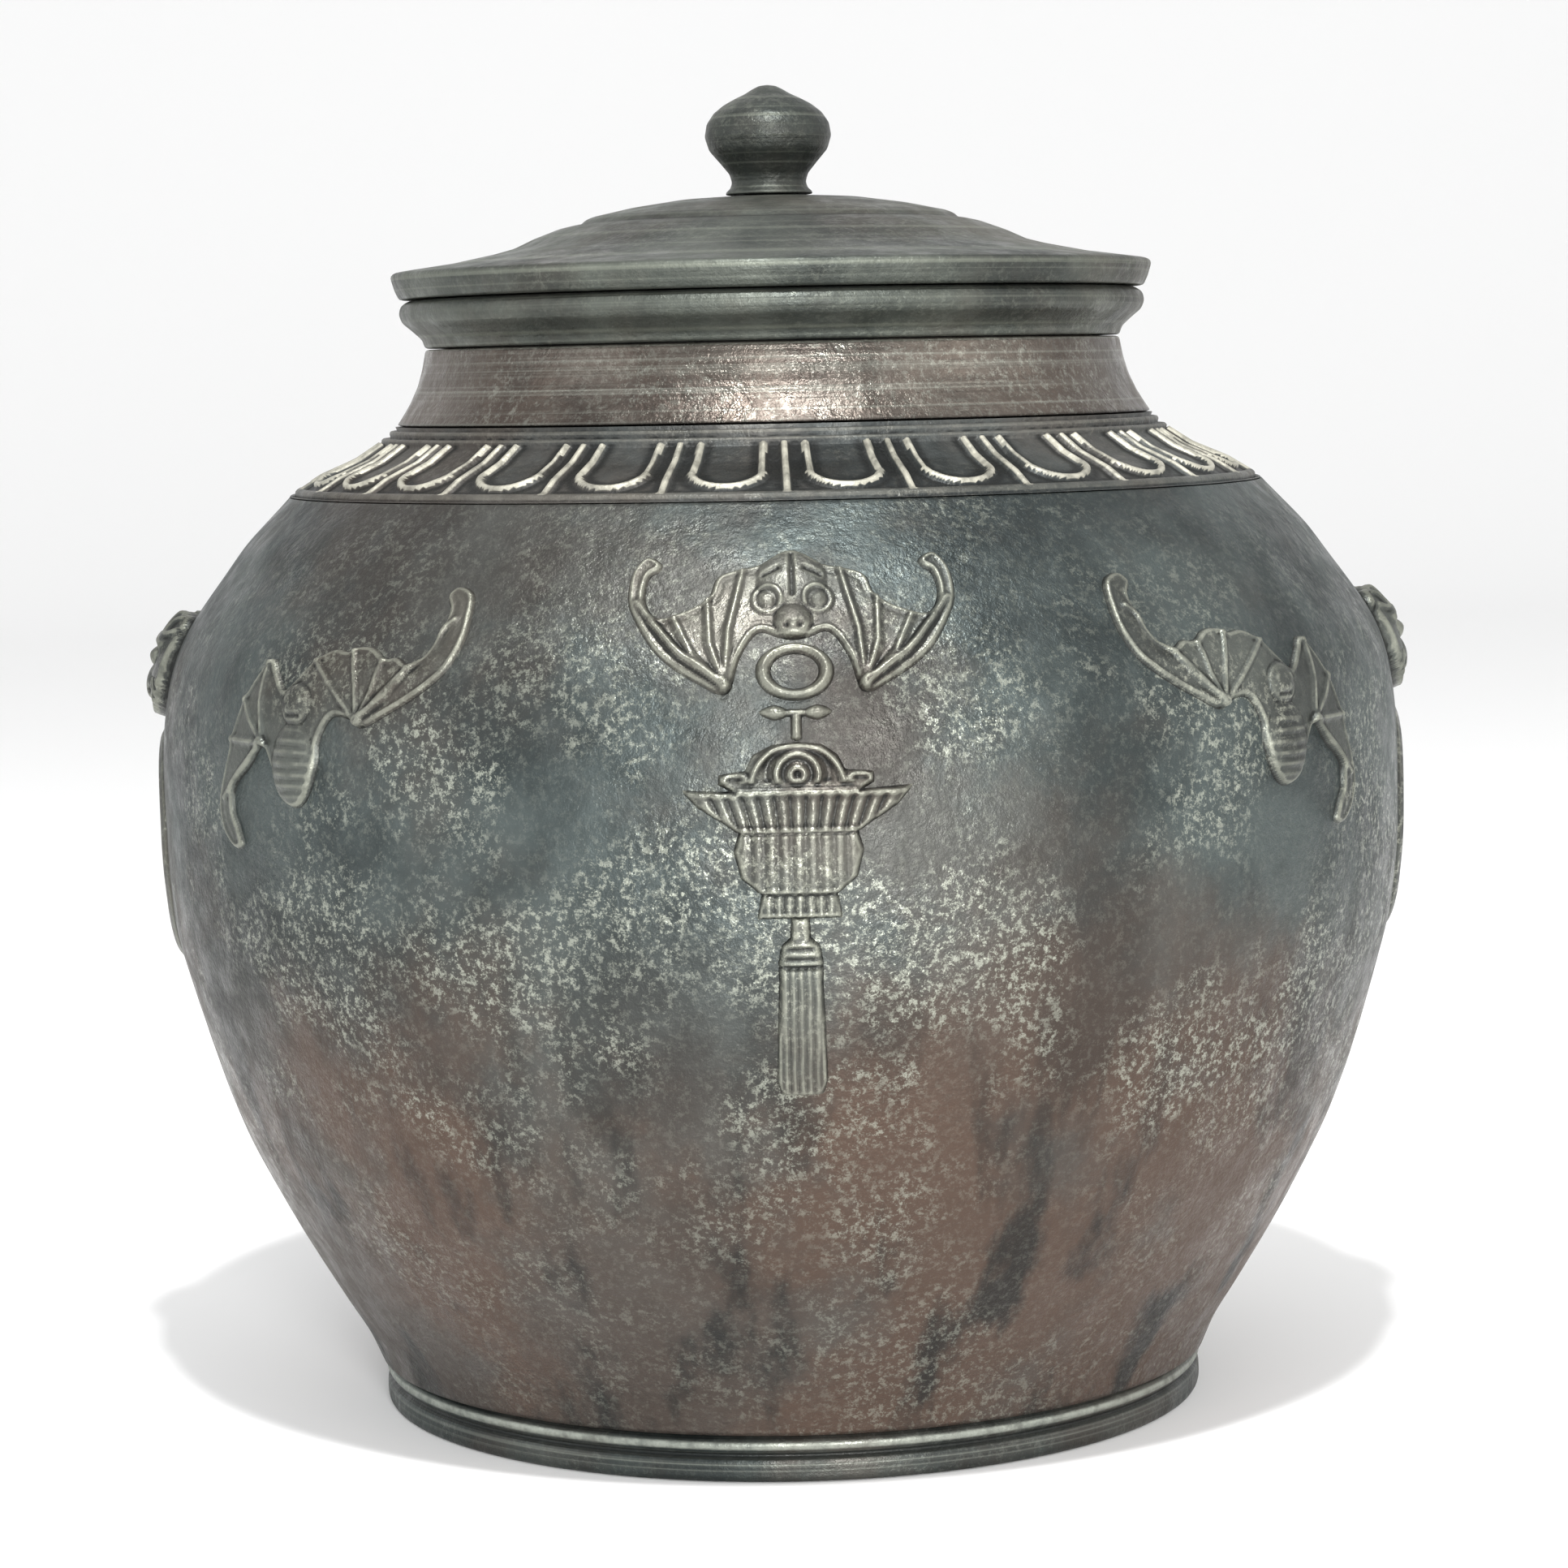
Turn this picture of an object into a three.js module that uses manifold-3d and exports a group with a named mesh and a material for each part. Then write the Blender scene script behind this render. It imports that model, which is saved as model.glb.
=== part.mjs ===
// Lidded bronze urn: a squat shouldered body on a ring foot, a lappet collar, a short neck with a
// rolled lip, a domed lid with a bud knob, and cast relief (bats, hanging flower baskets with
// tassels, beast masks and rings) seated on the belly. Millimetres, +Z up, origin under the foot centre.
import * as THREE from "three";
import { mergeVertices } from "three/addons/utils/BufferGeometryUtils.js";
import Module from "manifold-3d";
const wasm = await Module();
wasm.setup();

// driving dimensions
const SEG = 48; // facets round the axis
const GAP = 0.3; // between touching pieces
const WALL = 4.5;
const FOOT_H = 10.7, FOOT_R = 98.7, FOOT_IN = 90;
const FLOOR_Z = 11, FLOOR_T = 5;
const BODY_TOP = 216.7, COLLAR_TOP = 232.7, NECK_TOP = 250.7, LIP_TOP = 262.2;
const LID_Z = 262.5, LID_R = 90.3, LID_FLANGE_T = 6.2;
const KNOB_FOOT_Z = 285.6, TOP_Z = 311.5;
const RELIEF_T = 2.6, RING_T = 1.4, MASK_R = 154;
// outer meridian of the vessel, [height, radius]
const BELLY = [
  [11, 100.2], [18, 102.9], [26, 107.9], [38, 115.1], [54, 123.9], [74, 132.9], [94, 139.3], [114, 144.7],
  [130, 146.7], [146, 147.05], [162, 146.6], [174, 144.8], [182, 142.2], [190, 137.5], [198, 131.6], [206, 125.9], [212, 119.9], [216.7, 115.5],
];

const clean = (geo) => {
  let g = geo.index ? geo : geo.clone();
  g.deleteAttribute("normal");
  g.deleteAttribute("uv");
  g = mergeVertices(g, 1e-4);
  const p = g.attributes.position.array, old = g.index.array, idx = [];
  for (let i = 0; i < old.length; i += 3) {
    const [a, b, c] = [old[i], old[i + 1], old[i + 2]];
    if (a !== b && b !== c && a !== c) idx.push(a, b, c);
  }
  let vol = 0;
  for (let i = 0; i < idx.length; i += 3) {
    const [a, b, c] = [idx[i] * 3, idx[i + 1] * 3, idx[i + 2] * 3];
    vol += p[a] * (p[b + 1] * p[c + 2] - p[b + 2] * p[c + 1]) - p[a + 1] * (p[b] * p[c + 2] - p[b + 2] * p[c]) + p[a + 2] * (p[b] * p[c + 1] - p[b + 1] * p[c]);
  }
  if (vol < 0) for (let i = 0; i < idx.length; i += 3) [idx[i + 1], idx[i + 2]] = [idx[i + 2], idx[i + 1]];
  return new wasm.Manifold(new wasm.Mesh({ numProp: 3, vertProperties: new Float32Array(p), triVerts: new Uint32Array(idx) }));
};
const group = new THREE.Group();
const put = (name, made, colour, rough = 0.55) => {
  const m = made.getMesh();
  const g = new THREE.BufferGeometry();
  g.setAttribute("position", new THREE.BufferAttribute(new Float32Array(m.vertProperties), 3));
  g.setIndex(new THREE.BufferAttribute(new Uint32Array(m.triVerts), 1));
  const mesh = new THREE.Mesh(g, new THREE.MeshStandardMaterial({ color: colour, roughness: rough, metalness: 0.85 }));
  mesh.name = name;
  group.add(mesh);
};
const turn = (points, seg = SEG) => clean(new THREE.LatheGeometry(points.map(([r, z]) => new THREE.Vector2(r, z)), seg).rotateX(Math.PI / 2));
const ringOf = (points, seg) => turn([...points, points[0]], seg);

const TEAL = 0x3a4442, BROWN = 0x4a3a2f, PALE = 0x56605a;

// vessel
const innerBelly = BELLY.filter(([z]) => z > FLOOR_Z + FLOOR_T + 1).map(([z, r]) => [r - WALL, z]).reverse();
put("urn_body", turn([[0, FLOOR_Z], ...BELLY.map(([z, r]) => [r, z]), ...innerBelly, [94, FLOOR_Z + FLOOR_T], [0, FLOOR_Z + FLOOR_T]]), BROWN);
put("foot_ring", ringOf([[FOOT_IN, 0], [FOOT_R, 0], [FOOT_R, 5], [97.6, 5.8], [FOOT_R, 7.2], [FOOT_R, 9.2], [97.2, FOOT_H], [FOOT_IN, FOOT_H]]), PALE);
put("lappet_collar", ringOf([[115.3, BODY_TOP + GAP], [113.6, 218.6], [107.9, 222], [99.5, 226], [93.4, 230], [90.0, COLLAR_TOP],
  [90.0 - WALL, COLLAR_TOP], [94.6, 226], [103.0, 222], [110.4, BODY_TOP + GAP]]), BROWN);
put("neck", ringOf([[89.4, COLLAR_TOP + GAP], [86.3, 238], [84.4, 242], [83.2, 246], [82.4, NECK_TOP], [77.9, NECK_TOP], [78.8, 246], [79.9, 242], [81.8, 238], [84.6, COLLAR_TOP + GAP]]), BROWN);
put("mouth_rim", ringOf([[82.5, NECK_TOP + GAP], [84.5, 254], [87.6, 256.6], [88.5, 258.6], [88.2, 260.6], [86.4, LIP_TOP], [78.6, LIP_TOP], [77.9, NECK_TOP + GAP]]), PALE);

// lid
put("lid_plate", ringOf([[88.2, LID_Z], [LID_R, LID_Z + LID_FLANGE_T - 0.8], [89.6, LID_Z + LID_FLANGE_T], [76, 270.6], [61, 274], [52.5, 277.6], [46.2, 279.2], [43.6, 280.8],
  [33, 283.2], [22, 284.8], [11, 285.3], [5, 285.3], [5, 281], [11, 281], [30, 278.4], [45, 274.6], [60, 268.6], [66, LID_Z]]), PALE);
put("lid_locating_ring", ringOf([[72, 250], [76, 250], [76, LIP_TOP], [72, LIP_TOP]]), TEAL);
put("lid_knob", turn([[0, 277.2], [4.6, 277.2], [4.6, KNOB_FOOT_Z], [10.8, KNOB_FOOT_Z], [9.2, 287], [8.75, 288.6], [9.6, 291], [13.6, 295.2], [15, 299], [14.6, 302.5],
  [11.4, 306], [7, 308.6], [4.2, 310], [2.6, 311.1], [0, TOP_Z]], 24), TEAL);
put("knob_washer", ringOf([[5, 278.4], [9, 278.4], [9, 280.7], [5, 280.7]], 24), TEAL);

// relief: an outline in unrolled surface millimetres (u along the belly, v along the meridian from z0)
// becomes a prism cut by a skin that follows the belly
const at = (z) => {
  for (let i = 1; i < BELLY.length; i++) if (z <= BELLY[i][0]) {
    const [a, b] = [BELLY[i - 1], BELLY[i]];
    return a[1] + ((b[1] - a[1]) * (z - a[0])) / (b[0] - a[0]);
  }
  return BELLY.at(-1)[1];
};
const climb = (z0, v) => {
  let z = z0, left = Math.abs(v);
  const s = Math.sign(v), dz = 0.25;
  while (left > 0) {
    left -= Math.hypot(dz, at(z + s * dz) - at(z));
    z += s * dz;
  }
  return z;
};
const skin = (from, to) => {
  const off = (d) => BELLY.map(([z, r], i) => {
    const a = BELLY[Math.max(0, i - 1)], b = BELLY[Math.min(BELLY.length - 1, i + 1)];
    const n = Math.hypot(b[0] - a[0], b[1] - a[1]);
    return [r + (d * (b[0] - a[0])) / n, z - (d * (b[1] - a[1])) / n];
  });
  return ringOf([...off(to), ...off(from).reverse()]);
};
const reliefSkin = skin(GAP, GAP + RELIEF_T), ringSkin = skin(GAP, GAP + RING_T);
const relief = (outline, z0, degrees, cover, holes = []) => {
  const flat = (list) => list.map(([u, v]) => {
    const z = climb(z0, v);
    return new THREE.Vector2(at(z) * Math.sin(u / at(z0)), z);
  });
  const shape = new THREE.Shape(flat(outline));
  for (const h of holes) shape.holes.push(new THREE.Path(flat(h)));
  const prism = clean(new THREE.ExtrudeGeometry(shape, { depth: 110, bevelEnabled: false }).rotateX(Math.PI / 2).translate(0, -60, 0));
  return prism.intersect(cover).rotate([0, 0, degrees]);
};
const mirrored = (list) => list.map(([u, v]) => [-u, v]);
const oval = (cu, cv, ru, rv, n) => Array.from({ length: n }, (_, i) => [cu + ru * Math.cos((2 * Math.PI * i) / n), cv + rv * Math.sin((2 * Math.PI * i) / n)]);

const FRONT_BAT = [
  [0, 32], [-7.3, 28.6], [-16.5, 26], [-19.4, 20.5], [-24.9, 16.6], [-30.7, 15.4], [-33.2, 23.8], [-30.6, 28.6], [-35.6, 30.3], [-37.9, 24], [-35.5, 15.8], [-28.9, 6.4],
  [-19.6, 0], [-13.7, -2.2], [-11.2, 5.8], [-7.5, 12], [-3, 10.6], [3, 10.6], [7.5, 12], [11.2, 5.8], [13.7, -2.2], [19.6, 0], [28.9, 6.4], [35.5, 15.8], [37.9, 24],
  [35.6, 30.3], [30.6, 28.6], [33.2, 23.8], [30.7, 15.4], [24.9, 16.6], [19.4, 20.5], [16.5, 26], [7.3, 28.6],
];
const SIDE_BAT = [
  [-32.4, 38.9], [-36.9, 37], [-38.5, 31], [-38.6, 24.5], [-36.5, 18.8], [-27.2, 11.2], [-15.2, 5.4], [-7.8, 9], [-2.3, -2.8], [0.5, -10], [4.5, -12.7], [9.5, -10.5], [13.2, -4.1],
  [17.3, 0.4], [21.7, -5.2], [28, -9.3], [28.8, -14.6], [25.1, -21.5], [29.6, -23], [34, -18.6], [35.4, -13.9], [33.4, -7.6], [31.6, -2.6], [29.6, 3.7], [25.9, 11.1], [19.2, 19.9],
  [13.9, 15.6], [9.4, 14.2], [2.5, 20.1], [-7.3, 22.8], [-14.8, 23.1], [-21.5, 20.9], [-27.3, 19.6], [-31.7, 27.1], [-31.9, 32.7], [-29.7, 36.2],
];
const BOW = [[-7.4, -5.4], [-4, -4.6], [4, -4.6], [7.2, -5.4], [4, -7.4], [1.2, -7.2], [1.2, -11.4], [-1.2, -11.4], [-1.2, -7.2], [-4, -7.4]];
const BASKET = [
  [-10.4, -17.6], [-9, -14.6], [-5, -12.5], [0, -12], [5, -12.5], [8, -15], [9.4, -18], [15, -18.6], [15, -20.8], [13, -21.9], [23.4, -21.9], [20, -25.4], [15, -28.6], [11.9, -30.4],
  [13, -34.5], [11.6, -40], [8, -43.2], [8.4, -48.5], [-8.4, -48.5], [-8, -43.2], [-11.6, -40], [-13, -34.5], [-11.9, -30.4], [-15, -28.6], [-20, -25.4], [-23.4, -21.9], [-13, -21.9],
  [-15.6, -20.8], [-15.6, -18.6],
];
const TASSEL = [[-1.6, -48.9], [1.6, -48.9], [1.9, -53.3], [4, -56], [4.6, -62], [4.6, -68], [5.3, -84], [4.4, -87.4], [-4.4, -87.4], [-5.3, -84], [-4.6, -68], [-4.6, -62], [-4, -56], [-1.9, -53.3]];

for (const [side, turnTo] of [["front", 0], ["back", 180]]) {
  put("bat_" + side, relief(FRONT_BAT, 180, turnTo, reliefSkin), TEAL);
  put("pendant_ring_" + side, relief(oval(0, 2.8, 8, 6.3, 16), 180, turnTo, reliefSkin, [oval(0, 2.8, 5, 3.6, 12)]), PALE);
  put("pendant_bow_" + side, relief(BOW, 180, turnTo, reliefSkin), PALE);
  put("flower_basket_" + side, relief(BASKET, 180, turnTo, reliefSkin), PALE);
  put("tassel_" + side, relief(TASSEL, 180, turnTo, reliefSkin), PALE);
}
put("bat_front_right", relief(SIDE_BAT, 165, 45, reliefSkin), TEAL);
put("bat_front_left", relief(mirrored(SIDE_BAT), 165, -45, reliefSkin), TEAL);
put("bat_back_left", relief(SIDE_BAT, 165, 225, reliefSkin), TEAL);
put("bat_back_right", relief(mirrored(SIDE_BAT), 165, 135, reliefSkin), TEAL);

// beast masks and the rings that hang below them in relief
const inside = turn([[0, 11], ...BELLY.map(([z, r], i) => {
  const a = BELLY[Math.max(0, i - 1)], b = BELLY[Math.min(BELLY.length - 1, i + 1)], n = Math.hypot(b[0] - a[0], b[1] - a[1]);
  return [r + (GAP * (b[0] - a[0])) / n, z - (GAP * (b[1] - a[1])) / n];
}), [0, 217.4]]);
const ball = (x, y, z, sx, sy, sz) => clean(new THREE.SphereGeometry(1, 16, 10).scale(sx, sy, sz).translate(x, y, z));
for (const [side, s] of [["right", 1], ["left", -1]]) {
  const face = ball(s * 144, 0, 177, 7.2, 17, 11).add(ball(s * 146, 0, 172, MASK_R - 146, 6, 5.5)).add(ball(s * 140, 11, 187, 5, 5, 6)).add(ball(s * 140, -11, 187, 5, 5, 6));
  put("beast_mask_" + side, face.subtract(inside), TEAL);
  const hoop = relief(oval(0, 0, 28.6, 28.8, 28), 134.6, s * 90, ringSkin, [oval(0, 0, 22.6, 22.8, 24)]);
  put("relief_ring_" + side, hoop, TEAL);
}

export default group;
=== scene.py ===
import bpy
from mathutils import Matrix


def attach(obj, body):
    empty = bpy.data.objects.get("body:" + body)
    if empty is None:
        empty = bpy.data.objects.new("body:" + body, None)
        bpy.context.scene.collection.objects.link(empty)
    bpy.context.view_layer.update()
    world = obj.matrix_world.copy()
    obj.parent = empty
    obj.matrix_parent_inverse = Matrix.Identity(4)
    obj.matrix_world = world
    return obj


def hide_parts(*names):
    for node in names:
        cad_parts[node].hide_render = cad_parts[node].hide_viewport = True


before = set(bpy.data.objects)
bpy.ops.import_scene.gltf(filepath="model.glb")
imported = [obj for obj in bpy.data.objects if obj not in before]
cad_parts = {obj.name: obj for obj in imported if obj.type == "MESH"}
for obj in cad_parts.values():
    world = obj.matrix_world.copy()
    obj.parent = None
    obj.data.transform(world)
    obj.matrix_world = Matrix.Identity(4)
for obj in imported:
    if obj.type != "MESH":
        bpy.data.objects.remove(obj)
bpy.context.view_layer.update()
import bpy, math
import numpy as np
from mathutils import Matrix, Vector

MM = 0.001

# ---------------------------------------------------------------- vessel meridian, mm
TABLE = [(11, 99.9), (14, 101.2), (18, 102.9), (22, 105.3), (26, 107.9), (30, 110.3), (34, 112.7), (38, 115.1), (42, 117.4), (46, 119.7),
         (50, 121.8), (54, 123.9), (58, 125.9), (62, 127.9), (66, 129.8), (70, 131.4), (74, 132.9), (78, 134.4), (82, 135.7), (86, 136.9),
         (90, 138.2), (94, 139.3), (98, 140.5), (102, 141.6), (106, 142.7), (110, 143.8), (114, 144.7), (118, 145.4), (122, 145.9),
         (126, 146.3), (130, 146.7), (134, 146.9), (138, 147.0), (146, 147.0), (154, 146.9), (162, 146.5), (166, 146.1), (170, 145.5),
         (174, 144.8), (178, 143.7), (182, 142.2), (186, 140.2), (190, 137.5), (194, 134.6), (198, 131.6), (202, 128.7), (206, 125.8), (212, 120.0), (214, 118.0), (216, 116.1), (217.1, 115.1)]
ZZ = np.arange(11, 216.51, 0.5)
RR = np.interp(ZZ, *zip(*TABLE))
_p = np.pad(RR, 8, mode="reflect", reflect_type="odd")
RR = np.convolve(_p, np.hanning(19)[1:-1] / np.hanning(19)[1:-1].sum(), "valid")
ARC = np.concatenate([[0], np.cumsum(np.hypot(np.diff(ZZ), np.diff(RR)))])
NR, NZ = np.gradient(ZZ), -np.gradient(RR)
_n = np.hypot(NR, NZ); NR, NZ = NR / _n, NZ / _n


def mesh(name, verts, faces, body, nodes, mat, wear_and_shade=None, smooth=True):
    me = bpy.data.meshes.new(name)
    me.from_pydata((np.asarray(verts) * MM).tolist(), [], faces)
    me.update()
    if smooth:
        me.polygons.foreach_set("use_smooth", [True] * len(me.polygons))
    # Per-vertex value: positive marks rubbed wear (paler), negative marks painted shade in crevices and grooves
    # (darker).
    at = me.attributes.new("wear_and_shade", "FLOAT", "POINT")
    at.data.foreach_set("value", np.zeros(len(verts)) if wear_and_shade is None else np.asarray(wear_and_shade, float))
    ob = bpy.data.objects.new(name, me)
    bpy.context.collection.objects.link(ob)
    me.materials.append(mat)
    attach(ob, body)
    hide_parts(*nodes)
    return ob


def lathe(name, prof, body, nodes, mat, seg=240, wobble=None, wear_and_shade=None, axis_ends=False):
    """prof: (r, z) all the way round a closed section, or axis to axis."""
    prof = np.asarray(prof, float)
    n = len(prof)
    a = np.linspace(0, 2 * np.pi, seg, endpoint=False)
    V, W = [], []
    A, I = np.meshgrid(a, np.arange(n))
    r, z = np.repeat(prof[:, :1], seg, 1), np.repeat(prof[:, 1:2], seg, 1)
    if wobble is not None:
        dr, dz, w = wobble(A, r, z, I)
        r, z = r + dr, z + dz
    else:
        w = np.zeros_like(r)
    w = w + (np.asarray(wear_and_shade)[:, None] if wear_and_shade is not None else 0)
    P = np.stack([r * np.sin(A), -r * np.cos(A), z], -1)
    if axis_ends:
        P = P[1:-1]; w = w[1:-1]; n -= 2
    V = P.reshape(-1, 3).tolist(); W = w.reshape(-1).tolist(); F = []
    for i in range(n if not axis_ends else n - 1):
        j = (i + 1) % n
        for k in range(seg):
            m = (k + 1) % seg
            F.append((i * seg + k, i * seg + m, j * seg + m, j * seg + k))
    if axis_ends:
        V += [[0, 0, float(prof[0, 1])], [0, 0, float(prof[-1, 1])]]; W += [0, 0]
        b, t = len(V) - 2, len(V) - 1
        for k in range(seg):
            m = (k + 1) % seg
            F.append((b, m, k)); F.append((t, (n - 1) * seg + k, (n - 1) * seg + m))
    return mesh(name, V, F, body, nodes, mat, W)


def dense(pts, step=0.8, rounds=1, closed=False):
    """Even spacing along a broken line, corners eased."""
    p = np.asarray(pts, float)
    if closed:
        p = np.vstack([p, p[:1]])
    d = np.concatenate([[0], np.cumsum(np.hypot(*np.diff(p, axis=0).T))])
    n = max(8, int(d[-1] / step))
    s = np.linspace(0, d[-1], n)
    q = np.stack([np.interp(s, d, p[:, 0]), np.interp(s, d, p[:, 1])], 1)
    for _ in range(rounds):
        if closed:
            q = q[:-1]; q = (np.roll(q, 1, 0) + 2 * q + np.roll(q, -1, 0)) / 4; q = np.vstack([q, q[:1]])
        else:
            q[1:-1] = (q[:-2] + 2 * q[1:-1] + q[2:]) / 4
    return q[:-1] if closed else q


# ---------------------------------------------------------------- material
def bronze(name, dark, mid, warm, pale, warm_low=0.0, metallic=0.72, rough=0.5, grain=1.0, lines=0.0, painted_glint_amount=0.5, worn=0.45):
    m = bpy.data.materials.new(name); m.use_nodes = True
    t = m.node_tree; N, L = t.nodes, t.links
    N.clear()
    out = N.new("ShaderNodeOutputMaterial"); b = N.new("ShaderNodeBsdfPrincipled"); L.new(b.outputs[0], out.inputs[0])
    tc = N.new("ShaderNodeTexCoord"); co = tc.outputs["Object"]

    def noise(scale, detail=4, rough_=0.6, vec=None):
        n = N.new("ShaderNodeTexNoise"); n.inputs["Scale"].default_value = scale; n.inputs["Detail"].default_value = detail
        n.inputs["Roughness"].default_value = rough_; L.new(vec or co, n.inputs["Vector"]); return n.outputs["Fac"]

    def ramp(v, lo, hi, a=0.0, c=1.0):
        n = N.new("ShaderNodeMapRange"); n.interpolation_type = "SMOOTHSTEP"; L.new(v, n.inputs["Value"])
        for k, x in zip(("From Min", "From Max", "To Min", "To Max"), (lo, hi, a, c)):
            n.inputs[k].default_value = x
        return n.outputs["Result"]

    def math_(op, x, y):
        n = N.new("ShaderNodeMath"); n.operation = op; n.use_clamp = op == "ADD_C"
        for k, v in enumerate((x, y)):
            if isinstance(v, (int, float)):
                n.inputs[k].default_value = v
            else:
                L.new(v, n.inputs[k])
        return n.outputs[0]

    def mix(f, a, c, mode="MIX"):
        n = N.new("ShaderNodeMix"); n.data_type = "RGBA"; n.blend_type = mode; n.clamp_factor = True
        if isinstance(f, (int, float)):
            n.inputs[0].default_value = f
        else:
            L.new(f, n.inputs[0])
        for k, v in ((6, a), (7, c)):
            if isinstance(v, tuple):
                n.inputs[k].default_value = (*v, 1)
            else:
                L.new(v, n.inputs[k])
        return n.outputs[2]

    def stretch(sx, sy, sz):
        n = N.new("ShaderNodeMapping"); n.inputs["Scale"].default_value = (sx, sy, sz); L.new(co, n.inputs["Vector"]); return n.outputs[0]

    sep = N.new("ShaderNodeSeparateXYZ"); L.new(co, sep.inputs[0])
    low = ramp(sep.outputs["Z"], 0.15, 0.05)
    col = mix(ramp(noise(22, 5), 0.38, 0.62), dark, mid)
    patch = ramp(noise(9, 6, 0.65), 0.44, 0.62)
    col = mix(math_("MULTIPLY", math_("ADD", math_("MULTIPLY", low, warm_low), 0.35), patch), col, warm)
    col = mix(math_("MULTIPLY", low, warm_low * 0.6), col, warm)
    drip = ramp(noise(1, 5, 0.55, stretch(48, 48, 4)), 0.50, 0.64)
    col = mix(math_("MULTIPLY", drip, math_("ADD", math_("MULTIPLY", low, 0.75 * warm_low), 0.06)), col, tuple(x * 0.35 for x in dark))
    fine = noise(900, 3, 0.7)
    # Pale specks mixed into the base colour are painted glints: they stand in for the speckled flash highlight,
    # thickest on the belly band. They also lower the roughness.
    glint_cluster_band = math_("MULTIPLY", ramp(noise(26, 5, 0.65), 0.42, 0.62), math_("MULTIPLY", ramp(sep.outputs["Z"], 0.03, 0.11, 0.35, 1.0), ramp(sep.outputs["Z"], 0.205, 0.165, 0.3, 1.0)))
    painted_glint_spots = math_("MULTIPLY", ramp(noise(560, 4, 0.85), 0.49, 0.62), math_("ADD", glint_cluster_band, 0.12))
    col = mix(math_("MULTIPLY", painted_glint_spots, painted_glint_amount), col, pale)
    att = N.new("ShaderNodeAttribute"); att.attribute_name = "wear_and_shade"; att.attribute_type = "GEOMETRY"
    hi = math_("MULTIPLY", ramp(att.outputs["Fac"], 0.15, 0.9), ramp(noise(260, 4), 0.30, 0.62, 0.45, 1.0))
    # Negative values of the per-vertex attribute darken the colour towards near-black: painted shade in crevices,
    # grooves and beside raised lines.
    painted_crevice_shade = ramp(att.outputs["Fac"], -0.1, -0.8)
    col = mix(math_("MULTIPLY", hi, worn), col, pale)
    col = mix(math_("MULTIPLY", painted_crevice_shade, 0.85), col, tuple(x * 0.25 for x in dark))
    if lines:
        ring = noise(1, 2, 0.5, stretch(2, 2, 900))
        col = mix(math_("MULTIPLY", ramp(ring, 0.5, 0.72), lines * 0.35), col, pale)
    L.new(col, b.inputs["Base Color"])
    b.inputs["Metallic"].default_value = metallic
    r = math_("ADD", ramp(noise(120, 4), 0.3, 0.7, rough - 0.08, rough + 0.14), math_("MULTIPLY", painted_glint_spots, -0.14))
    L.new(r, b.inputs["Roughness"])
    bump = N.new("ShaderNodeBump"); bump.inputs["Strength"].default_value = 0.55 * grain; bump.inputs["Distance"].default_value = 0.0006
    h = math_("ADD", math_("MULTIPLY", fine, 0.5), math_("ADD", noise(300, 4, 0.7), math_("MULTIPLY", noise(60, 3), 0.8)))
    if lines:
        h = math_("ADD", h, math_("MULTIPLY", noise(1, 2, 0.5, stretch(2, 2, 700)), lines))
    L.new(h, bump.inputs["Height"]); L.new(bump.outputs[0], b.inputs["Normal"])
    return m


TEALD, TEALM, WARM, PALE = (0.022, 0.026, 0.026), (0.055, 0.066, 0.064), (0.12, 0.078, 0.058), (0.50, 0.53, 0.46)
M_BODY = bronze("bronze_body", (0.026, 0.033, 0.033), (0.062, 0.076, 0.074), (0.072, 0.048, 0.036), (0.40, 0.42, 0.35), 1.0, 0.74, 0.42, 1.3, 0.0, 0.5)
M_COLLAR = bronze("bronze_collar", (0.022, 0.026, 0.026), (0.060, 0.066, 0.064), (0.085, 0.06, 0.045), (0.62, 0.60, 0.50), 0.0, 0.6, 0.5, 1.0, 0.0, 0.15, 0.7)
M_NECK = bronze("bronze_neck", (0.055, 0.046, 0.040), (0.115, 0.10, 0.086), (0.11, 0.076, 0.058), PALE, 0.0, 0.85, 0.32, 1.0, 0.8, 0.6)
M_LID = bronze("bronze_lid", (0.030, 0.035, 0.032), (0.080, 0.088, 0.076), (0.085, 0.064, 0.050), (0.30, 0.32, 0.26), 0.0, 0.70, 0.46, 0.9, 0.7, 0.4)
M_FOOT = bronze("bronze_foot", (0.03, 0.037, 0.036), (0.075, 0.090, 0.084), WARM, PALE, 0.0, 0.72, 0.44, 0.8, 0.6, 0.3)
M_RELIEF = bronze("bronze_relief", (0.030, 0.033, 0.031), (0.080, 0.087, 0.078), (0.085, 0.062, 0.046), (0.42, 0.43, 0.35), 0.2, 0.74, 0.38, 0.8, 0.0, 0.4, 0.33)
M_HIDDEN = bronze("bronze_inside", TEALD, (0.05, 0.05, 0.045), WARM, PALE, 0.0, 0.5, 0.65, 1.0, 0.4, 0.1)


def uneven(amp):
    """Hand-cast unevenness, same every run."""
    def f(A, r, z, I):
        d = amp * (0.5 * np.sin(2 * A + 0.7 + z / 60) + 0.3 * np.sin(3 * A + z / 23) + 0.25 * np.sin(5 * A - z / 31 + 1.1) + 0.2 * np.sin(z / 7 + 2 * np.sin(A)))
        return d - amp * 0.9, 0 * d, 0 * d
    return f


SEG = 256
outer = np.stack([RR, ZZ], 1)[::2]
inner = np.stack([RR - 4.5, ZZ], 1)[12:][::4][::-1]
body_prof = np.vstack([dense([(0, 11), (96, 11), (99.2, 11.2)], 3, 0), outer, dense([(RR[-1] - 0.15, 216.7), (111.3, 216.7)], 1.0, 0)[:-1], inner, dense([(98, 17.4), (94, 16), (0, 16)], 3, 0)])
lathe("urn_body_shell", body_prof, "urn", ["urn_body"], M_BODY, SEG, uneven(0.18), axis_ends=True)

# Foot ring: the bead gets rubbed wear, the groove below it is darkened as painted shade, and the rest of the outer face
# is slightly darker.
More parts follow.
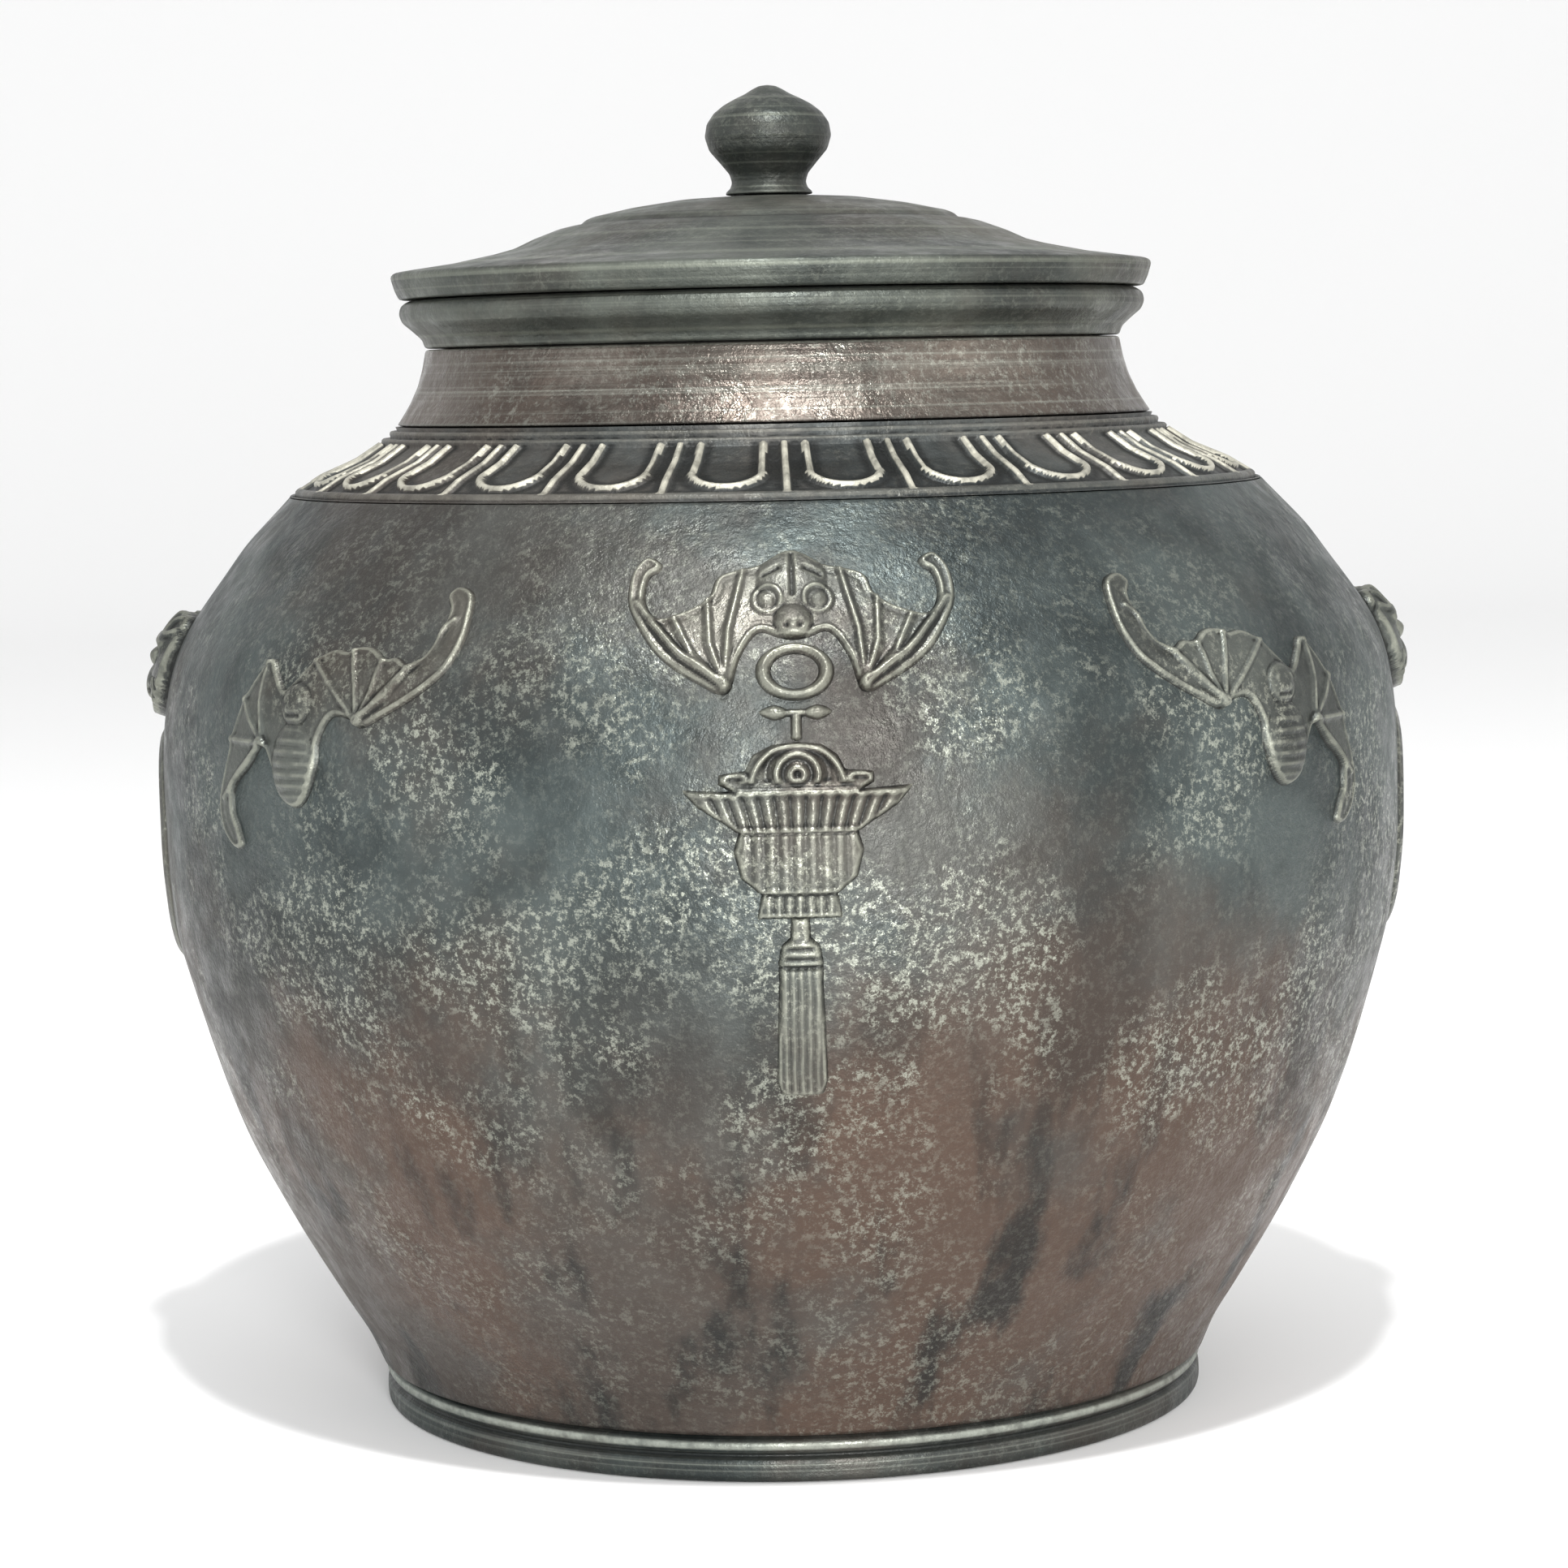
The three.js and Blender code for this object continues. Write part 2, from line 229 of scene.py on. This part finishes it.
lathe("foot_ring_cast", dense([(90, 0), (98.0, 0), (98.4, 1.2), (98.3, 5.0), (96.9, 5.9), (97.6, 6.6), (98.6, 7.7), (98.5, 9.0), (97.2, 10.0), (95.6, 10.6), (90, 10.7)], 0.5, 2, True),
      "urn", ["foot_ring"], M_FOOT, SEG, lambda A, r, z, I: (0 * r, np.where(z < 0, -z, 0), np.clip((z - 7) * (9.4 - z) / 1.4, -0.4, 1) * (r > 97.4) - 0.9 * ((z > 5.3) & (z < 6.4) & (r > 95))), )
# The bottom of the neck, in the groove where it meets the collar, is darkened as painted shade.
lathe("neck_cast", dense([(89.5, 233.0), (88.4, 234.6), (86.3, 238), (84.4, 242), (83.2, 246), (82.3, 250.7), (77.9, 250.7), (78.8, 246), (79.9, 242), (81.8, 238), (84.6, 233.0)], 0.6, 1, True),
      "urn", ["neck"], M_NECK, SEG, lambda A, r, z, I: (0 * r, 0 * r, -0.8 * np.clip((234.2 - z) / 1.2, 0, 1)))
lathe("mouth_rim_rolled", dense([(82.4, 251.0), (83.0, 253), (85.4, 255.2), (87.6, 257.0), (88.4, 259.0), (87.9, 261.0), (86.0, 262.2), (78.6, 262.2), (77.9, 251.0)], 0.5, 2, True),
      "urn", ["mouth_rim"], M_LID, SEG, lambda A, r, z, I: (0 * r, 0 * r, np.clip((r - 87.6) / 1.0, 0, 1) * 0.25))

# collar with 26 lappets: raised uprights, a U hanging between each pair
C_OUT = np.array([(115.2, 216.95), (113.4, 218.6), (107.9, 222.0), (99.5, 225.6), (93.4, 229.6), (89.9, 232.7)])
c_top = dense(C_OUT, 0.35, 1)
c_all = np.vstack([c_top, dense([(85.5, 232.7), (94.6, 226), (103.0, 222), (110.4, 216.95)], 2.0, 0)])
c_s = np.concatenate([[0], np.cumsum(np.hypot(*np.diff(c_top, axis=0).T))])
PITCH = 2 * math.pi / 26
PLAIN = 0.0  # plain shoulder below the band, along the surface


def lappets(A, r, z, I):
    s = np.where(I < len(c_top), c_s[np.minimum(I, len(c_top) - 1)] - PLAIN, -50)
    a = (A + PITCH / 2) % PITCH - PITCH / 2  # 0 on an upright
    du = np.abs(a) * r
    w = PITCH * r / 2
    b = w - du  # distance from the petal's middle
    total = c_s[-1] - PLAIN
    up = np.exp(-(du / 0.85) ** 4) * (s > 2.6) * (s < total - 5.2)
    halfw = w * 0.60
    floor_s = 6.0
    rise = np.clip((s - floor_s) / (0.52 * (total - floor_s)), 0, 1)
    path = np.where(s > floor_s + 6, np.abs(b - halfw), np.abs(np.hypot(b / halfw, (s - floor_s - 6) / 6.0) - 1) * np.minimum(halfw, 6))
    u_ = np.exp(-(path / 0.8) ** 4) * (s > 4) * (s < total - 5.2)
    border = np.exp(-((s - 2.4) / 1.3) ** 4)
    ribs = np.exp(-((s - (total - 1.6)) / 0.8) ** 4) + np.exp(-((s - (total - 4.2)) / 0.8) ** 4)
    h = np.clip(np.maximum.reduce([up, u_, border, ribs]), 0, 1)
    live = (I < len(c_top)) & (s > 0.7) & (s < total - 0.3)
    h = np.where(live, h, 0)
    sink = np.where(live, 1.25 * (h - 1), 0)
    # Raised lines get rubbed wear. The strip beside each line is darkened as painted shadow, and the whole sunken
    # ground is slightly darker.
    near = np.minimum.reduce([np.abs(du - 1.9), np.abs(path - 1.9), np.abs(np.abs(s - 2.4) - 2.3)])
    lappet_wear_and_shade = np.where(live, np.where(np.maximum(up, u_) > 0.4, 1.0, np.where(h > 0.5, 0.3, -0.55 * np.exp(-(near / 1.2) ** 2) - 0.15)), 0)
    return sink * 0.62, sink * 0.78, lappet_wear_and_shade


C_SEG = 26 * 48
collar = lathe("lappet_collar_cast", c_all, "urn", ["lappet_collar"], M_COLLAR, C_SEG, lappets)


# lid
# The outer rim and the step edge at r 43 are paler; the corner at the foot of the step is darkened as painted shade.
lathe("lid_plate_turned", dense([(88.2, 262.5), (89.2, 264.6), (90.1, 267.6), (89.9, 268.4), (88.9, 268.8), (76, 270.6), (66, 272.6), (61, 273.9), (56, 276.2), (50, 278.4), (46.4, 279.2), (45.0, 279.2),
                                  (43.8, 280.4), (42, 281.1), (33, 283.0), (22, 284.6), (12, 285.2), (5, 285.2), (5, 281), (11, 281), (30, 278.4), (45, 274.6), (60, 268.6), (66, 262.5)], 0.6, 1, True),
      "lid", ["lid_plate"], M_LID, SEG, lambda A, r, z, I: (0 * r, 0 * r, np.clip((r - 89.4) / 0.6, 0, 1) * 0.5 * (z > 267.3) + 0.45 * np.exp(-((r - 43.4) / 0.8) ** 2) * (z > 278) - 0.7 * np.exp(-((r - 45.6) / 0.9) ** 2) * (z > 277)))
lathe("lid_locating_ring_cast", dense([(72, 250.2), (75.6, 250.2), (76, 250.8), (76, 262.2), (72, 262.2)], 1.0, 0, True), "lid", ["lid_locating_ring"], M_HIDDEN, 128)
lathe("lid_knob_turned", np.vstack([[(0, 277.3)], dense([(4.4, 277.3), (4.5, 285.7), (10.4, 285.7), (10.2, 286.4), (9.2, 287.2), (8.75, 288.6), (9.3, 290.6), (11.6, 293.4), (14.0, 296.2), (15.0, 299.4), (14.5, 302.4),
                                            (12.8, 304.9), (10.4, 306.8), (7.8, 308.2), (5.4, 309.3), (3.6, 310.4), (2.0, 311.2), (0.4, 311.4)], 0.45, 1), [(0, 311.45)]]),
      "lid", ["lid_knob"], M_LID, 96, axis_ends=True)
lathe("knob_washer_peened", dense([(5, 278.4), (8.6, 278.4), (9, 278.8), (9, 280.6), (5, 280.6)], 0.5, 0, True), "lid", ["knob_washer"], M_HIDDEN, 64)


# ---------------------------------------------------------------- relief
def sdf(poly, U, V):
    """Distance inside a closed outline is positive."""
    p = np.asarray(poly, float); q = np.roll(p, -1, 0)
    d = np.full(U.shape, 1e9); ins = np.zeros(U.shape, bool)
    for (x0, y0), (x1, y1) in zip(p, q):
        ex, ey = x1 - x0, y1 - y0
        t = np.clip(((U - x0) * ex + (V - y0) * ey) / (ex * ex + ey * ey + 1e-12), 0, 1)
        d = np.minimum(d, np.hypot(U - x0 - t * ex, V - y0 - t * ey))
        c = ((y0 > V) != (y1 > V)) & (U < (x1 - x0) * (V - y0) / (y1 - y0 + 1e-12) + x0)
        ins ^= c
    return np.where(ins, d, -d)


def line(pts, U, V):
    d = np.full(U.shape, 1e9)
    for (x0, y0), (x1, y1) in zip(pts[:-1], pts[1:]):
        ex, ey = x1 - x0, y1 - y0
        t = np.clip(((U - x0) * ex + (V - y0) * ey) / (ex * ex + ey * ey + 1e-12), 0, 1)
        d = np.minimum(d, np.hypot(U - x0 - t * ex, V - y0 - t * ey))
    return d


def curve(pts, n=6):
    """Closed outline with eased corners."""
    p = np.asarray(pts, float); out = []
    for i in range(len(p)):
        a, b, c, d = p[i - 1], p[i], p[(i + 1) % len(p)], p[(i + 2) % len(p)]
        for k in range(n):
            t = k / n
            out.append(0.5 * (2 * b + (c - a) * t + (2 * a - 5 * b + 4 * c - d) * t * t + (3 * b - a - 3 * c + d) * t ** 3))
    return np.array(out)


def bead(d, w, h):
    return h * np.exp(-(d / w) ** 2)


def oval(cu, cv, ru, rv, U, V):
    return np.clip(1 - ((U - cu) / ru) ** 2 - ((V - cv) / rv) ** 2, 0, 1) ** 0.5


def relief(name, node, z0, degrees, box, edge, height, mirror=False, cap=2.6, sink=0.45, step=0.42, mat=None):
    u0, u1, v0, v1 = box
    st = step * 1
    U, V = np.meshgrid(np.arange(u0, u1 + st, st), np.arange(v0, v1 + st, st))
    S = edge(U, V)
    t = np.clip((S + 0.55) / 1.25, 0, 1)
    H = np.minimum(height(U, V, S), cap - 0.05)
    H = -sink + (H + sink) * t * t * (3 - 2 * t)
    s0 = np.interp(z0, ZZ, ARC); s = s0 + V
    z, r = np.interp(s, ARC, ZZ), np.interp(s, ARC, RR)
    nr, nz = np.interp(s, ARC, NR), np.interp(s, ARC, NZ)
    R0 = np.interp(z0, ZZ, RR)
    ang = (-1 if mirror else 1) * U / R0 + math.radians(degrees)
    keep = (S[:-1, :-1] > -1.0) | (S[1:, :-1] > -1.0) | (S[:-1, 1:] > -1.0) | (S[1:, 1:] > -1.0)
    ny, nx = U.shape

    def place(h):
        rr = r + h * nr - 0.16
        return np.stack([rr * np.sin(ang), -rr * np.cos(ang), z + h * nz], -1).reshape(-1, 3)

    top, bot = place(H), place(np.full(H.shape, -sink - 1.0))
    lap = np.zeros_like(H)
    k = 2
    lap[k:-k, k:-k] = H[k:-k, k:-k] - (H[2 * k:, k:-k] + H[:-2 * k, k:-k] + H[k:-k, 2 * k:] + H[k:-k, :-2 * k]) / 4
    # Convex tops get positive values (rubbed wear); hollows between the raised strokes get negative values, painted
    # crevice shade.
    wear_and_shade = np.clip(lap / 0.30, -1, 1) + 0.10 * (H > 0.6)
    idx = np.arange(ny * nx).reshape(ny, nx)
    jj, ii = np.nonzero(keep)
    F = []
    off = ny * nx
    edges = {}
    for j, i in zip(jj.tolist(), ii.tolist()):
        a, b, c, d = int(idx[j, i]), int(idx[j, i + 1]), int(idx[j + 1, i + 1]), int(idx[j + 1, i])
        F.append((a, b, c, d)); F.append((d + off, c + off, b + off, a + off))
        for e in ((a, b), (b, c), (c, d), (d, a)):
            if (e[1], e[0]) in edges:
                del edges[(e[1], e[0])]
            else:
                edges[e] = 1
    for a, b in edges:
        F.append((b, a, a + off, b + off))
    used = np.zeros(2 * off, bool)
    for f in F:
        used[list(f)] = True
    new = np.cumsum(used) - 1
    P = np.vstack([top, bot])[used]
    W = np.concatenate([wear_and_shade.ravel(), np.zeros(off)])[used]
    F = [tuple(int(new[x]) for x in f) for f in F]
    if mirror:
        F = [f[::-1] for f in F]
    return mesh(name, P, F, "urn", [node], mat or M_RELIEF, W)


FB = curve([(0, 32), (-7.3, 28.6), (-16.5, 26), (-19.0, 20.5), (-24.9, 16.9), (-30.2, 15.8), (-33.2, 20), (-33.0, 25.4), (-30.8, 27.2), (-30.6, 29.2), (-34.2, 30.8), (-37.2, 27), (-37.4, 20.8), (-35.5, 15.8), (-28.9, 6.4),
            (-19.6, 0), (-13.9, -1.9), (-11.4, 5.8), (-7.7, 11.6), (-3, 10.4), (0, 10.2), (3, 10.4), (7.7, 11.6), (11.4, 5.8), (13.9, -1.9), (19.6, 0), (28.9, 6.4), (35.5, 15.8),
            (37.4, 20.8), (37.2, 27), (34.2, 30.8), (30.6, 29.2), (30.8, 27.2), (33.0, 25.4), (33.2, 20), (30.2, 15.8), (24.9, 16.9), (19.0, 20.5), (16.5, 26), (7.3, 28.6)], 5)


def front_bat(U, V, S):
    a = np.abs(U)
    h = 0.55 + 0.5 * np.clip(S / 3, 0, 1)
    for x, y in ((11.2, 26.5), (19, 20), (26, 14.8), (31, 14.2), (35, 19)):
        h = h + bead(line([(14.4, -0.6), ((14.4 + x) / 2 + 1.2, y / 2 - 1.2), (x, y)], a, V), 0.75, 0.75)
    h = h + bead(S - 0.9, 0.6, 0.45)
    h = np.maximum(h, 0.6 + 1.9 * oval(0, 24.2, 8.2, 7.6, U, V))
    h = np.maximum(h, 0.6 + 1.9 * oval(0, 14.2, 4.2, 4.4, U, V))
    h = np.maximum(h, 0.8 + 1.3 * oval(5.6, 19.2, 2.5, 2.5, a, V))
    h = h + bead(np.abs(np.hypot(a - 5.6, V - 19.2) - 3.0), 0.5, 0.5)
    h = h - bead(np.hypot(a - 1.5, V - 12.6), 0.6, 0.8) - bead(np.abs(a - 0.0) + np.clip(V - 30.5, 0, 9) + np.clip(20 - V, 0, 9), 0.5, 0.6)
    h = h - bead(line([(3.0, 26.5), (6.5, 25.0)], a, V), 0.5, 0.6)
    return h


SB = curve([(-32.4, 38.9), (-36.9, 37), (-38.5, 31), (-38.6, 24.5), (-36.5, 18.8), (-32.8, 15), (-27.2, 11.2), (-21.7, 8.3), (-15.2, 5.4), (-11, 7.2), (-6, 7.2), (-2.6, 2), (-2.3, -2.8), (0.5, -10), (4.5, -12.7), (9.5, -10.5),
            (13.2, -4.1), (17.3, 0.2), (21.7, -4.6), (28, -9.3), (28.8, -14.6), (26.4, -18.6), (25.1, -22.2), (28.6, -23.2), (33.4, -19.6), (35.4, -13.9), (33.8, -8), (31.6, -2.6), (29.6, 3.7), (25.9, 11.1), (19.4, 19.4), (15.6, 16.8), (11.6, 13.0),
            (9.4, 13.6), (6.2, 16.6), (2.5, 20.1), (-2.5, 22.5), (-7.3, 22.2), (-10.8, 23.5), (-14.8, 23.1), (-18.5, 20.9), (-22, 21.2), (-25, 19.7), (-27.3, 19.8), (-30, 22.5), (-31.7, 27.1), (-31.9, 32.7), (-29.9, 36.2)], 5)


def side_bat(U, V, S):
    h = 0.55 + 0.5 * np.clip(S / 3, 0, 1)
    for x, y in ((2.5, 19.8), (-9, 22.6), (-18.6, 20.8), (-28.4, 20.4), (-34.6, 30)):
        h = h + bead(line([(-14.6, 6.6), ((-14.6 + x) / 2 - 0.8, (6.6 + y) / 2 - 0.6), (x, y)], U, V), 0.75, 0.75)
    for x, y in ((19.2, 18.6), (26, 10.4), (30.6, 1), (32, -12)):
        h = h + bead(line([(16.4, 0.8), ((16.4 + x) / 2 + 1.0, (0.8 + y) / 2), (x, y)], U, V), 0.75, 0.75)
    h = h + bead(S - 0.9, 0.6, 0.45)
    h = np.maximum(h, 0.6 + 1.95 * oval(5.2, -3.2, 7.2, 9.4, U, V) + 0.25 * np.cos(2.6 * (V + 3)) * oval(5.2, -3.2, 6.4, 8.4, U, V))
    h = np.maximum(h, 0.7 + 1.9 * oval(5.3, 9.6, 5.0, 4.6, U, V))
    h = h + bead(np.hypot(np.abs(U - 5.3) - 2.2, V - 10.6), 0.7, 0.5) - bead(line([(3.4, 7.2), (7.2, 7.2)], U, V), 0.4, 0.6)
    return h


def bow_s(U, V):
    return np.maximum(sdf(curve([(-7.6, -5.9), (-4.6, -4.4), (-1.6, -5.2), (1.6, -5.2), (4.6, -4.4), (7.4, -5.9), (4.6, -7.6), (1.4, -6.9), (-1.4, -6.9), (-4.6, -7.6)], 4), U, V), 1.15 - np.abs(U) - np.clip(np.abs(V + 9) - 2.5, 0, 9) * 3)


BK = [(-10.6, -17.8), (-9, -14.6), (-5, -12.5), (0, -12), (5, -12.5), (8.2, -14.8), (9.6, -17.8), (15.4, -18.4), (15.4, -20.6), (12.6, -22.2), (23.2, -21.5), (20, -25.4), (15, -28.6), (11.9, -30.6),
      (13, -34.5), (11.6, -40), (7.6, -43.4), (8.4, -48.4), (-8.4, -48.4), (-7.6, -43.4), (-11.6, -40), (-13, -34.5), (-11.9, -30.6), (-15, -28.6), (-20, -25.4), (-23.2, -21.8), (-12.6, -22.4), (-16, -20.6), (-16, -18.6)]


def basket_h(U, V, S):
    h = 0.5 + 0.35 * np.clip(S / 3, 0, 1)
    arch = np.abs(np.hypot(U, (V + 20.8) * 1.15) - 9.2)
    top = V > -20.5
    h = h + np.where(top, bead(arch, 0.7, 1.1) + bead(np.abs(arch - 0) - 0.0 + 99 * (V < -20), 0.7, 0), 0)
    inner = np.hypot(U, V + 18.7)
    h = np.where(top, h + bead(inner - 4.2, 0.7, 1.1) + bead(inner - 1.4, 0.8, 1.1) - bead(inner - 6.3, 0.9, 0.5), h)
    for s in (-1, 1):
        h = h + np.where(top, bead(np.abs(np.hypot((s * U - 12.6) / 2.2, V + 19.7) - 1.0), 0.35, 0.9), 0)
    dish = (V <= -20.5) & (V > -30.6)
    h = np.where(dish, 1.0 + 0.75 * np.abs(np.cos(U * (1.0 - (V + 22) * 0.03) * 0.95)) * np.clip((-22 - V) / 1.5, 0, 1) + bead(V + 22.4 + 0.01 * np.abs(U), 0.7, 0.9), h)
    h = h + bead(V + 30.4, 0.7, 1.0) - bead(V + 31.9, 0.5, 0.5)
    bowl = (V <= -31) & (V > -43)
    h = np.where(bowl, 0.7 + 1.2 * oval(0, -35.5, 15, 11, U, V) + 0.45 * np.abs(np.cos(U * 1.15)), h)
    h = h + bead(V + 43.2, 0.6, 0.6)
    base = V <= -43.8
    h = np.where(base, 1.0 + 0.55 * np.abs(np.cos(U * 1.5)) + bead(V + 47.8, 0.6, 0.5), h)
    return h


TS = [(-1.7, -48.2), (1.7, -48.2), (1.9, -52.6), (3.8, -54.4), (4.5, -58.4), (4.3, -62), (4.7, -70), (5.3, -84), (4.4, -87.2), (-4.4, -87.2), (-5.3, -84), (-4.7, -70), (-4.3, -62), (-4.5, -58.4), (-3.8, -54.4), (-1.9, -52.6)]


def tassel_h(U, V, S):
    h = 0.8 + 0.8 * np.clip(1 - (U / 5.4) ** 2, 0, 1)
    strands = 0.5 * np.abs(np.cos(U * 1.9 + 0.12 * np.sin(V * 0.6)))
    h = h + np.where(V < -58.6, strands, 0) - bead(V + 58.8, 0.5, 0.7)
    h = h + np.where((V >= -58) & (V < -53.5), 0.35 * np.cos((V + 55.8) * 2.9) + 0.35, 0)
    return h


def mask_h(U, V, S):
    a = np.abs(U)
    h = 1.0 + 4.3 * oval(0, 0, 18, 14, U, V)
    h = np.maximum(h, 6.4 * oval(0, -4.5, 5.4, 6.2, U, V) ** 0.8)
    h = h + bead(line([(2.5, 4.5), (7, 6.4), (12, 4.4)], a, V), 1.3, 1.5)
    h = h + bead(np.hypot(a - 6.6, V - 1.6), 1.9, 1.5) - bead(np.abs(np.hypot(a - 6.6, V - 1.6) - 2.9), 0.7, 1.1)
    h = h - bead(line([(0, -9.6), (5, -9.0), (9, -6.6)], a, V), 0.8, 1.6) - bead(np.hypot(a - 2.2, V + 6.4), 0.8, 1.1)
    h = h + bead(np.abs(np.hypot(a - 11, V - 9.6) - 2.6), 0.9, 1.3) + bead(line([(0, 4), (0, 11.5)], a, V), 1.1, 1.2)
    h = h + 0.35 * np.cos(a * 2.4 + V * 0.8) * ((V < -3) & (a > 9))
    return h


MK = curve([(0, 13), (-6, 11.4), (-10.5, 13.4), (-14.4, 10.6), (-16.4, 4), (-15.4, -4), (-10.5, -9.4), (-4.5, -12), (4.5, -12), (10.5, -9.4), (15.4, -4), (16.4, 4), (14.4, 10.6), (10.5, 13.4), (6, 11.4)], 4)


def ring_s(cv, ru, rv, half):
    return lambda U, V: half - np.abs(np.hypot(U / ru, (V - cv) / rv) - 1) * (ru + rv) / 2


for side, deg in (("front", 0), ("back", 180)):
    relief("bat_relief_" + side, "bat_" + side, 180, deg, (-39, 39, -4, 34), lambda U, V: sdf(FB, U, V), front_bat)
    relief("pendant_ring_relief_" + side, "pendant_ring_" + side, 180, deg, (-10, 10, -5, 11), ring_s(2.8, 6.6, 5.1, 1.5), lambda U, V, S: 0.6 + 1.1 * np.clip(S / 1.5, 0, 1))
    relief("pendant_bow_relief_" + side, "pendant_bow_" + side, 180, deg, (-9, 9, -13, -3), bow_s, lambda U, V, S: 0.7 + 0.8 * np.clip(S / 1.4, 0, 1) - bead(np.abs(U) - 1.9, 0.4, 0.5))
    relief("flower_basket_relief_" + side, "flower_basket_" + side, 180, deg, (-25, 25, -50, -10), lambda U, V: sdf(BK, U, V), basket_h)
    relief("tassel_relief_" + side, "tassel_" + side, 180, deg, (-7, 7, -89, -47), lambda U, V: sdf(TS, U, V), tassel_h)
for name, deg, mir in (("front_right", 45, False), ("front_left", -45, True), ("back_left", 225, False), ("back_right", 135, True)):
    relief("bat_relief_" + name, "bat_" + name, 165, deg, (-40, 37, -25, 41), lambda U, V: sdf(SB, U, V), side_bat, mir)
for side, deg in (("right", 90), ("left", -90)):
    relief("beast_mask_relief_" + side, "beast_mask_" + side, 177, deg, (-18, 18, -14, 15), lambda U, V: sdf(MK, U, V), mask_h, cap=6.6)
    relief("ring_relief_" + side, "relief_ring_" + side, 134.6, deg, (-31, 31, -31, 31), ring_s(0, 25.7, 25.8, 3.0), lambda U, V, S: 0.3 + 0.95 * np.clip(S / 2.2, 0, 1), cap=1.4)

# ---------------------------------------------------------------- camera, floor, light
cam = bpy.data.objects.new("camera", bpy.data.cameras.new("camera"))
bpy.context.collection.objects.link(cam)
cam.data.sensor_width = 36; cam.data.lens = 95.9; cam.data.shift_x = 0.00166; cam.data.clip_end = 20
turn = math.radians(-1.3)
cam.matrix_world = Matrix.Translation((math.sin(turn), -math.cos(turn), 0.2448)) @ Matrix.Rotation(turn, 4, "Z") @ Matrix.Rotation(math.radians(90 - 5.69), 4, "X") @ Matrix.Rotation(math.radians(-1.19), 4, "Z")
bpy.context.scene.camera = cam

fm = bpy.data.materials.new("pale_floor"); fm.use_nodes = True
fb = fm.node_tree.nodes["Principled BSDF"]; fb.inputs["Base Color"].default_value = (0.93, 0.93, 0.93, 1); fb.inputs["Roughness"].default_value = 0.9
pts, fc = [], []
for k in range(41):  # floor that sweeps up into a backdrop
    t = k / 40
    y, z = (-6 + 12 * t / 0.5 * 0.75, 0) if t < 0.5 else (3 + 1.2 * math.sin((t - 0.5) * math.pi), 1.2 * (1 - math.cos((t - 0.5) * math.pi)) if t < 0.999 else 5)
    pts += [(-8, y, z - 0.0002), (8, y, z - 0.0002)]
for k in range(40):
    fc.append((2 * k, 2 * k + 1, 2 * k + 3, 2 * k + 2))
me = bpy.data.meshes.new("floor"); me.from_pydata(pts, [], fc); me.update()
floor = bpy.data.objects.new("floor", me); bpy.context.collection.objects.link(floor); me.materials.append(fm)
for p in me.polygons:
    p.use_smooth = True


def area(name, loc, target, size, power, colour=(1, 1, 1)):
    d = bpy.data.lights.new(name, "AREA"); d.shape = "RECTANGLE"; d.size, d.size_y = size; d.energy = power; d.color = colour
    o = bpy.data.objects.new(name, d); bpy.context.collection.objects.link(o)
    o.location = loc; o.rotation_euler = (Vector(target) - Vector(loc)).to_track_quat("-Z", "Y").to_euler()
    return o


area("key", (0.02, -0.78, 1.55), (0, 0, 0.2), (0.10, 0.10), 26)
area("flash", (0.16, -1.55, 0.36), (0, 0, 0.13), (0.30, 0.30), 20)
area("left_fill", (-2.0, -0.9, 0.8), (0, 0, 0.15), (1.2, 1.6), 10, (0.95, 0.98, 1))
area("right_fill", (2.0, -0.9, 0.8), (0, 0, 0.15), (1.2, 1.6), 11, (1, 0.98, 0.95))
w = bpy.data.worlds.new("world"); bpy.context.scene.world = w; w.use_nodes = True
w.node_tree.nodes["Background"].inputs[0].default_value = (1, 1, 1, 1); w.node_tree.nodes["Background"].inputs[1].default_value = 0.85
bpy.context.scene.view_settings.view_transform = "Standard"
